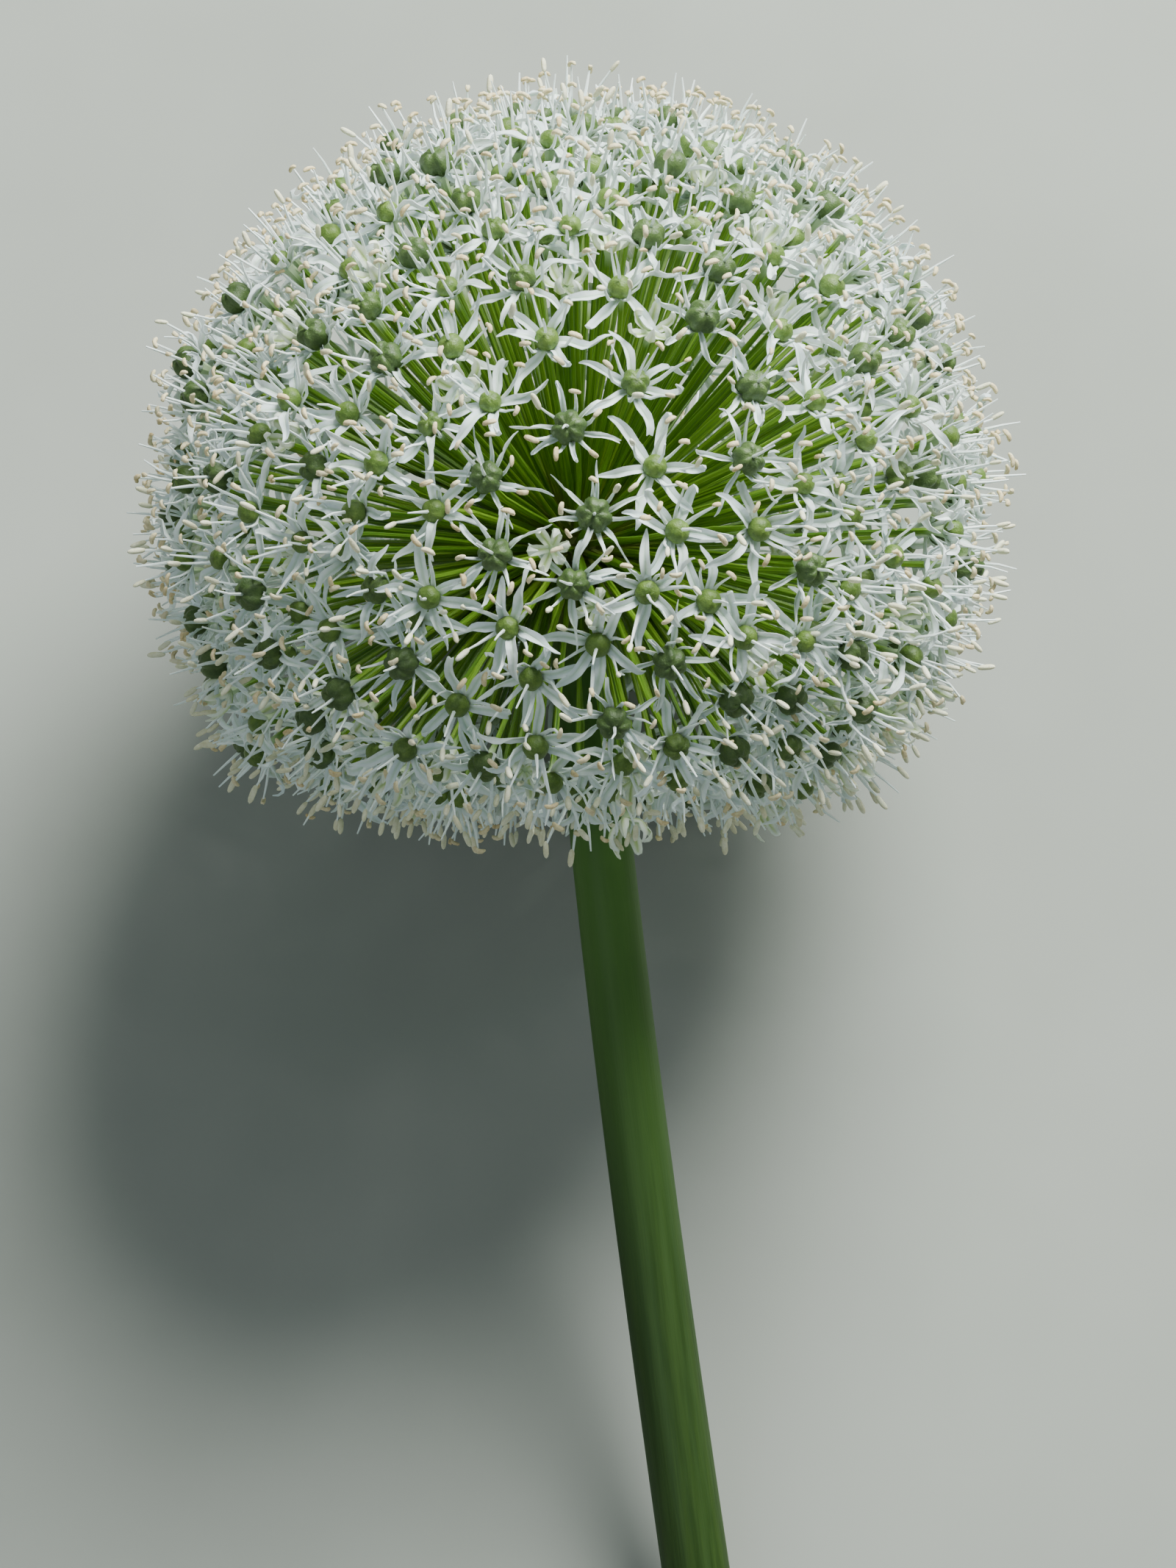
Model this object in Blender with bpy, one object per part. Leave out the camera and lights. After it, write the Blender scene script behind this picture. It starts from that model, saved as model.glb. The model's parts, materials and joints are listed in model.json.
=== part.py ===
"""White allium flower head, picked with a length of its stem and laid on its side.

The stem swells at its top into a rounded receptacle. Fifty clusters stand on the receptacle, and each
cluster is a small bunch of florets whose stalks grow from one base. A floret here is a plain closed
form: a three-sided stalk, a six-armed star for the tepals, and a spire for the ovary, style and
stamens. Everything is modelled on the plant's own axis, +Z towards the crown. One empty then lays
the plant down, with its lowest florets and the cut end of its stem on the ground.

Run it with: blender --background --python part.py
"""

import math
import random

import bmesh
import bpy
import numpy as np
from mathutils import Matrix, Vector

# Driving dimensions, in metres and radians.
CLUSTERS = 50
FLORETS_PER_CLUSTER = 8
CROWN_REACH = 0.080  # from the middle of the receptacle to the floret tips over the crown
WAIST_REACH = 0.075  # the same at right angles to the stem, so the head is 150 mm across
SKIRT_REACH = 0.054  # the same for the lowest florets, beside the stem
SKIRT_CURVE = 1.8  # how late below the waist the reach falls away
LOWEST_FLORET = math.radians(158)  # angle from the crown
LOWEST_CLUSTER = math.radians(150)
LOWEST_HUB = math.radians(132)  # where the lowest clusters grow out of the receptacle
HUB_CURVE = 1.5  # how late below the waist the hubs stay behind their clusters
CROWDING = 1.2  # 1 spreads the florets evenly, and more crowds them towards the crown
RING_SHARE = 0.41  # a cluster's ring of florets, as a share of the distance to the next cluster
PACKING = 1.06  # 1 asks for the spacing of a perfect honeycomb
PUSHES = 40
PUSH_STEP = 0.22

RECEPTACLE_RADIUS = 0.0090
SEAT_GAP = 0.0003
HUB_RADIUS = 0.0013
HUB_HEIGHT = 0.0012

FLORET_DEPTH = 0.011  # from the top of the stalk to the tips of the stamens
STALK_RADIUS = 0.00075  # of a triangle with the area of a round stalk 1 mm across
TEPAL_RISE = 0.0022
LONGEST_TEPAL = 0.0085
TEPAL_NOTCH = 0.0021
TEPAL_COUNT = 6
STAR_TURNS = 10  # how many ways each star is tried between its neighbours
NEIGHBOUR_GAP = 0.00025
NEAR = 3 * LONGEST_TEPAL  # florets further off than this can't meet
UNEVENNESS = 0.0008  # how far one floret's tip may stand out or stay back

REST_HEIGHT = 0.070  # of the receptacle's middle above the ground: the lowest florets are pressed
STEM_TOP_RADIUS = 0.0050
STEM_END_RADIUS = 0.0057
STEM_LENGTH = 0.184  # from the receptacle's middle to the cut, along the plant's axis
STEM_LEAN = 0.022  # how far the cut end has bent to the side
STEM_BEND = 1.25  # 1 is a straight slope, and more starts straight under the head
STEM_SIDES = 20
STEM_RINGS = 12
DOME_RINGS = 9
DOME_TOP = math.radians(8)  # the dome starts as a small flat, this far from its pole

SEED = 7
FULL_TURN = 2 * math.pi
GOLDEN_ANGLE = math.pi * (3 - math.sqrt(5))

STEM_GREEN = (0.085, 0.165, 0.045, 1.0)
FLORET_WHITE = (0.74, 0.78, 0.74, 1.0)


def clear_scene():
    for old in list(bpy.data.objects):
        bpy.data.objects.remove(old)


def plain_material(name, colour, roughness):
    material = bpy.data.materials.new(name)
    material.use_nodes = True
    shader = material.node_tree.nodes["Principled BSDF"]
    shader.inputs["Base Color"].default_value = colour
    shader.inputs["Roughness"].default_value = roughness
    shader.inputs["Metallic"].default_value = 0.0
    material.diffuse_color = colour
    return material


def direction(polar, bearing):
    """A unit vector: polar is the angle from the crown, and bearing turns round the stem."""
    side = math.sin(polar)
    return Vector((side * math.cos(bearing), side * math.sin(bearing), math.cos(polar)))


def polar_of(vector):
    return math.acos(max(-1.0, min(1.0, vector.normalized().z)))


def reach(polar):
    """How far the floret tips stand from the middle of the receptacle: a ball, flatter below."""
    waist = math.pi / 2
    if polar < waist:
        return CROWN_REACH - (CROWN_REACH - WAIST_REACH) * (polar / waist) ** 2
    below = (polar - waist) / (LOWEST_FLORET - waist)
    return WAIST_REACH - (WAIST_REACH - SKIRT_REACH) * below**SKIRT_CURVE


def cluster_directions():
    """A golden-angle spiral from the crown down, a little closer packed at the crown."""
    depth = 1 - math.cos(LOWEST_CLUSTER)
    found = []
    for index in range(CLUSTERS):
        share = ((index + 0.5) / CLUSTERS) ** CROWDING
        found.append(direction(math.acos(1 - depth * share), index * GOLDEN_ANGLE))
    return found


def tangents(axis):
    """Two unit vectors square to axis and to each other."""
    across = axis.orthogonal().normalized()
    return across, axis.cross(across)


def first_florets(clusters, dice):
    """One floret in the middle of each cluster and the rest in a ring round it, as unit vectors."""
    ring_radius = RING_SHARE * math.sqrt(4 * math.pi / CLUSTERS)
    rows = []
    for axis in clusters:
        across, up = tangents(axis)
        turn = dice.uniform(0, FULL_TURN)
        rows.append(axis)
        for index in range(FLORETS_PER_CLUSTER - 1):
            angle = turn + FULL_TURN * index / (FLORETS_PER_CLUSTER - 1)
            offset = across * math.cos(angle) + up * math.sin(angle)
            rows.append((axis + offset * ring_radius).normalized())
    return np.array([tuple(row) for row in rows])


def spread_out(points):
    """Pushes points on the unit ball apart until neighbours stand about as far apart as each other.
    The wanted spacing grows from the crown down, and nothing slides below the lowest floret."""
    lowest = math.cos(LOWEST_FLORET)
    room_each = FULL_TURN * (1 - lowest) / len(points)
    mean_spacing = PACKING * math.sqrt(room_each * 2 / math.sqrt(3))
    for _ in range(PUSHES):
        share = np.clip((1 - points[:, 2]) / (1 - lowest), 1 / CLUSTERS, 1)
        wanted = mean_spacing * np.sqrt(CROWDING * share ** (1 - 1 / CROWDING))
        gaps = points[:, None, :] - points[None, :, :]
        distance = np.linalg.norm(gaps, axis=2) + np.eye(len(points))
        short = np.clip((wanted[:, None] + wanted[None, :]) / 2 - distance, 0, None)
        np.fill_diagonal(short, 0)
        points = points + PUSH_STEP * (gaps / distance[:, :, None] * short[:, :, None]).sum(axis=1)
        points[:, 2] = np.maximum(points[:, 2] / np.linalg.norm(points, axis=1), lowest)
        level = np.sqrt(1 - points[:, 2] ** 2) / np.linalg.norm(points[:, :2], axis=1)
        points[:, :2] *= level[:, None]
    return points


def share_out(points, clusters):
    """Trades florets between clusters for as long as a trade brings both stalks nearer home, so that
    no two stalks cross. It returns the cluster of each floret."""
    away = ((points[:, None, :] - clusters[None, :, :]) ** 2).sum(axis=2)
    owner = np.repeat(np.arange(CLUSTERS), FLORETS_PER_CLUSTER)
    while True:
        swapped = away[:, owner]
        at_home = swapped.diagonal()
        gain = at_home[:, None] + at_home[None, :] - swapped - swapped.T
        one, other = np.unravel_index(gain.argmax(), gain.shape)
        if gain[one, other] < 1e-9:
            return owner
        owner[one], owner[other] = owner[other], owner[one]


def lying_turn():
    """The turn that lays the plant down, so that the stem's cut edge and the head both touch."""
    slope = 0.0
    for _ in range(20):  # the edge's height depends a little on the slope, which soon settles
        slope = math.asin((REST_HEIGHT - STEM_END_RADIUS * math.cos(slope)) / STEM_LENGTH)
    return Matrix.Rotation(slope - math.pi / 2, 4, "X")


def hub_direction(cluster):
    """Low clusters grow out of the receptacle's side and turn down beside the stem."""
    polar = polar_of(cluster)
    lower = max(0.0, polar - math.pi / 2) / (LOWEST_CLUSTER - math.pi / 2)
    shift = lower**HUB_CURVE * (LOWEST_CLUSTER - LOWEST_HUB)
    return direction(polar - shift, math.atan2(cluster.y, cluster.x))


class Floret:
    """Where one floret stands: the top of its stalk, its axis, and the six tips of its tepals."""

    def __init__(self, outward, hub_point, down, dice):
        tip_reach = reach(polar_of(outward)) + dice.uniform(-1, 1) * UNEVENNESS
        pressed = REST_HEIGHT / max(outward.dot(down), 1e-6)
        self.tip = outward * min(tip_reach, pressed)
        self.axis = (self.tip - hub_point).normalized()
        self.foot = self.tip - self.axis * FLORET_DEPTH
        self.star = self.foot + self.axis * TEPAL_RISE
        self.across, self.up = tangents(self.axis)

    def ray(self, angle):
        """The unit vector square to the floret's axis that points to angle."""
        return self.across * math.cos(angle) + self.up * math.sin(angle)

    def bearing(self, offset):
        """The angle to which an offset points, seen along the floret's axis."""
        return math.atan2(offset.dot(self.up), offset.dot(self.across))

    def room(self, angle, walls):
        """The length that an arm can have before it meets a wall halfway to a neighbour."""
        length = LONGEST_TEPAL
        for middle, outwards in walls:
            lean = self.ray(angle).dot(outwards)
            if lean > 1e-6:
                length = min(length, (middle - self.star).dot(outwards) / lean)
        return length

    def open_tepals(self, neighbours, down):
        """Turns the star until its arms find the most room between the neighbours."""
        walls = []
        for other in neighbours:
            lengthwise = (self.axis + other.axis).normalized()
            outwards = other.star - self.star
            outwards = (outwards - lengthwise * outwards.dot(lengthwise)).normalized()
            walls.append(((self.star + other.star) / 2 - outwards * NEIGHBOUR_GAP, outwards))
        walls.append((down * REST_HEIGHT, down))
        sector = FULL_TURN / TEPAL_COUNT
        arms = [sector * arm for arm in range(TEPAL_COUNT)]
        turns = [sector * step / STAR_TURNS for step in range(STAR_TURNS)]
        self.turn = max(turns, key=lambda turn: sum(self.room(turn + arm, walls) for arm in arms))
        self.rim = []
        for angle in [self.turn + arm for arm in arms]:
            notch = min(TEPAL_NOTCH, self.room(angle + sector / 2, walls))
            self.rim.append(self.star + self.ray(angle) * max(TEPAL_NOTCH, self.room(angle, walls)))
            self.rim.append(self.star + self.ray(angle + sector / 2) * notch)


def grow_floret(bm, wedge, floret):
    """Draws one wedge of the hub out into a stalk, then opens it into the star and its spire."""
    grown = bmesh.ops.extrude_discrete_faces(bm, faces=[wedge])["faces"][0]
    corners = list(grown.verts)
    if grown.normal.dot(floret.axis) < 0:
        corners.reverse()
    middle = grown.calc_center_median()
    third = FULL_TURN / len(corners)
    leads = [floret.bearing(corner.co - middle) - third * k for k, corner in enumerate(corners)]
    turn = math.atan2(sum(map(math.sin, leads)), sum(map(math.cos, leads)))
    for index, corner in enumerate(corners):
        corner.co = floret.foot + floret.ray(turn + third * index) * STALK_RADIUS
    bm.faces.remove(grown)

    rim = [bm.verts.new(point) for point in floret.rim]
    first = round((turn - third / 2 - floret.turn) / FULL_TURN * len(rim)) % len(rim)
    rim = rim[first:] + rim[:first]
    fan = len(rim) // len(corners)
    for index, corner in enumerate(corners):
        for step in range(index * fan, (index + 1) * fan):
            bm.faces.new((corner, rim[(step + 1) % len(rim)], rim[step]))
        following = corners[(index + 1) % len(corners)]
        bm.faces.new((corner, following, rim[(index + 1) * fan % len(rim)]))
    tip = bm.verts.new(floret.tip)
    for index, corner in enumerate(rim):
        bm.faces.new((corner, rim[(index + 1) % len(rim)], tip))


def seated(florets, hub_axis, turns, bearing):
    """The florets in the order of the wedges. The middle one takes the wedge that the others, which
    stand round it, can best spare."""
    middle = max(florets, key=lambda floret: floret.star.normalized().dot(hub_axis))
    ring = [floret for floret in florets if floret is not middle]
    ring.sort(key=lambda floret: bearing(floret.star))
    orders = []
    for spare in range(len(florets)):
        for shift in range(len(ring)):
            order = ring[shift:] + ring[:shift]
            order.insert(spare, middle)
            orders.append(order)

    def misfit(order):
        pairs = [pair for pair in zip(order, turns) if pair[0] is not middle]
        return -sum(math.cos(bearing(floret.star) - turn) for floret, turn in pairs)

    return min(orders, key=misfit)


def build_cluster(name, hub_axis, florets, material):
    """A round hub whose top is cut into wedges, one for the stalk of each floret."""
    bm = bmesh.new()
    across, up = tangents(hub_axis)
    base = hub_axis * (RECEPTACLE_RADIUS + SEAT_GAP)
    place = Matrix((across, up, hub_axis)).transposed().to_4x4()
    place.translation = base
    bmesh.ops.create_circle(
        bm, cap_ends=True, segments=len(florets), radius=HUB_RADIUS, matrix=place
    )
    bottom = bm.faces[:][0]
    top = bmesh.ops.extrude_face_region(bm, geom=[bottom], use_keep_orig=True)["geom"]
    top_verts = [item for item in top if isinstance(item, bmesh.types.BMVert)]
    bmesh.ops.translate(bm, vec=hub_axis * HUB_HEIGHT, verts=top_verts)
    top_face = next(item for item in top if isinstance(item, bmesh.types.BMFace))
    wedges = bmesh.ops.poke(bm, faces=[top_face])["faces"]

    def bearing(point):
        offset = point - base
        return math.atan2(offset.dot(up), offset.dot(across))

    wedges.sort(key=lambda face: bearing(face.calc_center_median()))
    turns = [bearing(face.calc_center_median()) for face in wedges]
    for wedge, floret in zip(wedges, seated(florets, hub_axis, turns, bearing)):
        grow_floret(bm, wedge, floret)
    bmesh.ops.recalc_face_normals(bm, faces=bm.faces[:])
    mesh = bpy.data.meshes.new(name)
    bm.to_mesh(mesh)
    bm.free()
    mesh.materials.append(material)
    return bpy.data.objects.new(name, mesh)


def stem_point(depth):
    """A point of the stem's middle line: straight down at first, then leaning to one side."""
    share = max(0.0, depth) / STEM_LENGTH
    return Vector((STEM_LEAN * share**STEM_BEND, 0.0, -depth))


def build_stem(material):
    """One tube of changing radius: the receptacle's dome from its top, its neck, and the stem."""
    neck = math.asin(STEM_TOP_RADIUS / RECEPTACLE_RADIUS)
    start = RECEPTACLE_RADIUS * math.cos(neck)
    sections = []
    for index in range(DOME_RINGS):
        polar = DOME_TOP + (math.pi - neck - DOME_TOP) * index / DOME_RINGS
        sections.append((-RECEPTACLE_RADIUS * math.cos(polar), RECEPTACLE_RADIUS * math.sin(polar)))
    for index in range(STEM_RINGS + 1):
        share = index / STEM_RINGS
        radius = STEM_TOP_RADIUS + (STEM_END_RADIUS - STEM_TOP_RADIUS) * share
        sections.append((start + (STEM_LENGTH - start) * share, radius))

    curve = bpy.data.curves.new("stem", "CURVE")
    curve.dimensions = "3D"
    curve.bevel_depth = 1.0
    curve.bevel_resolution = STEM_SIDES // 2 - 2
    curve.use_fill_caps = True
    spline = curve.splines.new("POLY")
    spline.points.add(len(sections) - 1)
    for point, (depth, radius) in zip(spline.points, sections):
        point.co = (*stem_point(depth), 1.0)
        point.radius = radius
    spline.use_smooth = True
    curve.materials.append(material)
    return bpy.data.objects.new("stem", curve)


def corners_of(part):
    """Every vertex of a part as the viewport shows it, in world space."""
    shown = part.evaluated_get(bpy.context.evaluated_depsgraph_get())
    corners = [part.matrix_world @ vert.co for vert in shown.to_mesh().vertices]
    shown.to_mesh_clear()
    return corners


def centre_on_origin(plant, parts):
    """Moves the plant so that the middle of its box is over the origin and its lowest point at 0."""
    bpy.context.view_layer.update()
    corners = [corner for part in parts for corner in corners_of(part)]
    low = Vector([min(corner[axis] for corner in corners) for axis in range(3)])
    high = Vector([max(corner[axis] for corner in corners) for axis in range(3)])
    plant.location -= Vector(((low.x + high.x) / 2, (low.y + high.y) / 2, low.z))


def main():
    clear_scene()
    dice = random.Random(SEED)
    collection = bpy.data.collections.new("allium_flower_head")
    bpy.context.scene.collection.children.link(collection)
    green = plain_material("stem", STEM_GREEN, 0.45)
    white = plain_material("floret", FLORET_WHITE, 0.55)

    turn = lying_turn()
    down = (turn.inverted() @ Vector((0, 0, -1))).normalized()
    clusters = cluster_directions()
    outward = spread_out(first_florets(clusters, dice))
    owner = share_out(outward, np.array(clusters))
    groups = []
    for index, cluster in enumerate(clusters):
        hub_axis = hub_direction(cluster)
        hub_point = hub_axis * (RECEPTACLE_RADIUS + HUB_HEIGHT)
        rows = outward[owner == index]
        florets = [Floret(Vector(row), hub_point, down, dice) for row in rows]
        groups.append((hub_axis, florets))

    everyone = [floret for _, florets in groups for floret in florets]
    for floret in everyone:
        near = [o for o in everyone if o is not floret and (o.star - floret.star).length < NEAR]
        floret.open_tepals(near, down)

    parts = [build_stem(green)]
    for index, (hub_axis, florets) in enumerate(groups):
        parts.append(build_cluster(f"floret_cluster_{index + 1:02d}", hub_axis, florets, white))

    plant = bpy.data.objects.new("plant", None)
    collection.objects.link(plant)
    plant.matrix_world = turn
    for part in parts:
        collection.objects.link(part)
        part.parent = plant
    centre_on_origin(plant, parts)


main()
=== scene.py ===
# %% [markdown]
# # A white allium flower head
# The head of an ornamental onion is a ball of some four hundred small star flowers, the florets. Each
# stands on its own green stalk, and all stalks grow from the swollen top of one bare stem. The plant
# was picked, so it lies on its side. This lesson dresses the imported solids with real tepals, stamens
# and ovaries, one organ at a time, and then lights the head and sets up the camera.

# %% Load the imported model
import json
import math
import random

import bmesh
import bpy
import numpy as np
from mathutils import Euler, Matrix, Vector

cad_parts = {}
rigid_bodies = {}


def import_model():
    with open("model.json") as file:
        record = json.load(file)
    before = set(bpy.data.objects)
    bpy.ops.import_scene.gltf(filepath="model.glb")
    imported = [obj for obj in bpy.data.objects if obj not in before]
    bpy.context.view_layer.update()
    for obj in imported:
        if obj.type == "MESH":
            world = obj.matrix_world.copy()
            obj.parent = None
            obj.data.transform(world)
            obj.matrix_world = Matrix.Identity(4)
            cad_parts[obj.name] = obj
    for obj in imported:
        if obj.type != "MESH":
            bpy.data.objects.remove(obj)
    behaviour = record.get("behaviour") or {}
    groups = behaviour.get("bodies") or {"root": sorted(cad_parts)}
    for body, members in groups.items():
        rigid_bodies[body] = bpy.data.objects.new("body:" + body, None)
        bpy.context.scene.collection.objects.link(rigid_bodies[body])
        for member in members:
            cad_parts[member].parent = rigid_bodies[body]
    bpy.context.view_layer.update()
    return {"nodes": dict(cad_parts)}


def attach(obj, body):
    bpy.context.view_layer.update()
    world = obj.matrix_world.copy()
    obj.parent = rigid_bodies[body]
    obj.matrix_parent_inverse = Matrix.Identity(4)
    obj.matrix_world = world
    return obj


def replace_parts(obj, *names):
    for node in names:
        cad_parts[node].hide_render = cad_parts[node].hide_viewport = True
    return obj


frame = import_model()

MM = 0.001
FULL_TURN = 2 * math.pi
dice = random.Random(20)

# %% [markdown]
# ## Where the plant lies
# Nothing here is placed by eye. The receptacle, the knob on which all stalks stand, is a ball, so a
# least-squares fit to the corners of its dome finds its middle, the heart of the head. The stem's cut
# end gives the plant's own axis: the stem leans only sideways, so with that lean taken out, the line
# from the cut to the heart points at the crown.

# %% The heart, the crown and the stem's line
DOME_BAND = 14 * MM  # how much of the receptacle's end is taken as part of a ball
CUT_BAND = 5 * MM


def corners_of(node):
    """Every corner of a solid, as rows of x, y and z."""
    return np.array([vert.co[:] for vert in frame["nodes"][node].data.vertices])


stem_corners = corners_of("stem")
dome = stem_corners[stem_corners[:, 1] > stem_corners[:, 1].max() - DOME_BAND]
fit, *_ = np.linalg.lstsq(np.c_[2 * dome, np.ones(len(dome))], (dome**2).sum(axis=1), rcond=None)
heart = Vector(fit[:3])
receptacle_radius = math.sqrt(fit[3] + heart.length_squared)

cut_ring = stem_corners[stem_corners[:, 1] < stem_corners[:, 1].min() + CUT_BAND]
cut_middle = Vector((cut_ring.min(axis=0) + cut_ring.max(axis=0)) / 2)
crown = heart - cut_middle
crown.x = 0.0
crown.normalize()
skyward = Vector((0.0, -crown.z, crown.y))  # square to the crown, on the side that faces up
sideways = Vector((1.0, 0.0, 0.0))
plant_turn = Matrix((sideways, -skyward, crown)).transposed()
print("heart at", [round(x / MM, 1) for x in heart], "mm")
print("receptacle radius", round(receptacle_radius / MM, 2), "mm")


def polar_of(way):
    """The angle between a direction and the crown."""
    return way.angle(crown)


# %% [markdown]
# ## The florets that the solids promise
# Each cluster is one solid with eight spires, and the point of a spire is where a floret's style ends.
# A spire's point stands further from the heart than every corner that an edge joins it to, which is
# enough to find all of them. The corners close to the heart belong to the cluster's foot.

# %% Read the florets from the clusters
FOOT_BAND = 3 * MM
cluster_names = sorted(name for name in frame["nodes"] if name != "stem")


def read_cluster(node):
    """The foot of a cluster and the tips of its florets."""
    bm = bmesh.new()
    bm.from_mesh(frame["nodes"][node].data)
    bmesh.ops.remove_doubles(bm, verts=bm.verts, dist=1e-6)
    near = receptacle_radius + FOOT_BAND
    low = [vert.co for vert in bm.verts if (vert.co - heart).length < near]
    foot = sum(low, Vector()) / len(low)
    tips = []
    for vert in bm.verts:
        away = (vert.co - heart).length
        others = [(edge.other_vert(vert).co - heart).length for edge in vert.link_edges]
        if away > 2 * receptacle_radius and away > max(others):
            tips.append(vert.co.copy())
    bm.free()
    return foot, tips


clusters = {name: read_cluster(name) for name in cluster_names}
print(len(clusters), "clusters with", sum(len(tips) for _, tips in clusters.values()), "florets")

# %% [markdown]
# ## A shape that bends
# Tepals, filaments, styles and open anthers are all strips or rods that curve. Each is first made
# straight along X, where it is easy to shape, and then laid along a curved line. Pitch lifts the line,
# yaw swings it sideways and roll twists the strip about it, each as a function of how far along it is.
# A curve modifier could do this too, but eight thousand small parts are quicker to bend once, as a few
# patterns, and then to copy.

# %% The bending helper and the pattern maker
BEND_STEPS = 40


def bend(bm, length, pitch, yaw, roll):
    """Lays a straight shape, which runs along +X from the origin, along a curved line."""
    places = []
    here = Vector((0, 0, 0))
    for step in range(BEND_STEPS + 1):
        share = step / BEND_STEPS
        turn = Euler((roll(share), -pitch(share), yaw(share))).to_matrix()
        places.append((here.copy(), turn))
        here += turn @ Vector((length / BEND_STEPS, 0, 0))
    for vert in bm.verts:
        share = min(max(vert.co.x / length, 0.0), 1.0)
        middle, turn = places[round(share * BEND_STEPS)]
        vert.co = middle + turn @ Vector((0, vert.co.y, vert.co.z))


def finished(bm, name, sharp=math.radians(50)):
    """A pattern mesh from a bmesh: outward faces, smooth, with creases only where it turns sharply.
    A thin curled blade can fool the outward test, and then its volume comes out negative."""
    bmesh.ops.recalc_face_normals(bm, faces=bm.faces)
    if bm.calc_volume(signed=True) < 0:
        bmesh.ops.reverse_faces(bm, faces=bm.faces)
    mesh = bpy.data.meshes.new(name)
    bm.to_mesh(mesh)
    bm.free()
    mesh.shade_smooth()
    mesh.set_sharp_from_angle(angle=sharp)
    return mesh


def smooth_step(low, high, value):
    share = min(max((value - low) / (high - low), 0.0), 1.0)
    return share * share * (3 - 2 * share)


def degrees(low, high):
    """An angle drawn between two numbers of degrees."""
    return math.radians(dice.uniform(low, high))


# %% [markdown]
# ## Tepals
# The six white leaves of a floret are tepals: they are petals and sepals at once. Each is a narrow
# blade, widest near its middle, with a shallow channel and a point that often curls. A grid gives the
# blade its length of quads, a formula narrows and cups it, and solidify gives it thickness, so that
# it is closed and light can soak through it. Three families of pattern give the variety: straight
# blades, blades with hooked points, and blades that have twisted as they aged.

# %% One tepal pattern
TEPAL_LENGTH = 10.2 * MM
TEPAL_WIDTH = 1.66 * MM
TEPAL_THICKNESS = 0.14 * MM
OUTLINE = (  # share of the length, share of the greatest width
    (0.0, 0.60),
    (0.12, 0.76),
    (0.3, 0.97),
    (0.48, 1.0),
    (0.64, 0.90),
    (0.78, 0.70),
    (0.9, 0.46),
    (0.96, 0.28),
    (1.0, 0.12),
)
RIPPLE = 0.24 * MM
RIPPLE_WAVES = 2.4
TEPAL_CUP = 0.6


def flat_blade(length, width):
    """A straight tepal along +X with its channel upwards, and a map: across in U, along in V."""
    shares, widths = zip(*OUTLINE)
    ripples = [dice.uniform(0, FULL_TURN) for _ in range(2)]
    bm = bmesh.new()
    bmesh.ops.create_grid(bm, x_segments=10, y_segments=2, size=0.5)
    across_along = bm.loops.layers.uv.new("across_along")
    for face in bm.faces:
        for loop in face.loops:
            loop[across_along].uv = (loop.vert.co.y + 0.5, loop.vert.co.x + 0.5)
    for vert in bm.verts:
        share = vert.co.x + 0.5
        half = width / 2 * float(np.interp(share, shares, widths))
        side = vert.co.y * 2
        start = ripples[0] if side > 0 else ripples[1]
        wave = math.sin(RIPPLE_WAVES * FULL_TURN * share + start) * math.sin(math.pi * share)
        ripple = RIPPLE * side**2 * wave
        vert.co = (share * length, side * half, TEPAL_CUP * half * abs(side) + ripple)
    bmesh.ops.solidify(bm, geom=bm.faces[:], thickness=TEPAL_THICKNESS)
    return bm


def tepal_pattern(
    name, rise, droop, hook, swing, twist, length=TEPAL_LENGTH, width=TEPAL_WIDTH, restless=1.0
):
    """A curved blade: it leaves the floret's foot at rise and ends at droop, its point bent by hook."""
    bm = flat_blade(length, width)
    wave, sway = restless * degrees(-30, 30), restless * degrees(-42, 42)
    bend(
        bm,
        length,
        pitch=lambda s: rise * (1 - s) ** 2 + droop * s + wave * math.sin(FULL_TURN * s)
        + hook * smooth_step(0.6, 1.0, s),
        yaw=lambda s: swing * math.sin(math.pi * s) + sway * math.sin(FULL_TURN * s) * s,
        roll=lambda s: twist * smooth_step(0.15, 0.9, s),
    )
    return finished(bm, name)


# %% The three families of tepals
straight_tepals = [
    tepal_pattern(
        f"straight_tepal_{n}",
        rise=degrees(14, 50),
        droop=degrees(-30, 16),
        hook=degrees(-80, 80),
        swing=degrees(-28, 28),
        twist=degrees(-40, 40),
    )
    for n in range(10)
]
hooked_tepals = [
    tepal_pattern(
        f"hooked_tepal_{n}",
        rise=degrees(12, 42),
        droop=degrees(-16, 24),
        hook=dice.choice((-1, 1, 1)) * degrees(95, 220),
        swing=degrees(-26, 26),
        twist=degrees(-55, 55),
    )
    for n in range(8)
]
twisted_tepals = [
    tepal_pattern(
        f"twisted_tepal_{n}",
        rise=degrees(16, 50),
        droop=degrees(-34, 34),
        hook=degrees(-130, 130),
        swing=degrees(-40, 40),
        twist=dice.choice((-1, 1)) * degrees(70, 140),
    )
    for n in range(8)
]
print("tepal patterns:", len(straight_tepals + hooked_tepals + twisted_tepals), "of",
      len(straight_tepals[0].polygons), "faces each")

# %% [markdown]
# ## Stamens
# A stamen is a white thread, the filament, with a pollen case, the anther, at its end. The filament is
# broad and flat where it joins its neighbours round the ovary, and thin as a hair at the top. A circle
# that is extruded again and again and scaled each time makes such a taper from its real sections.
# Anthers start as long cream cases in line with the thread. When they open they shrink to a short tan
# arc that sits across its end, held by the middle. So there are two kinds of anther pattern, both from
# a sphere of few faces.

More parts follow.
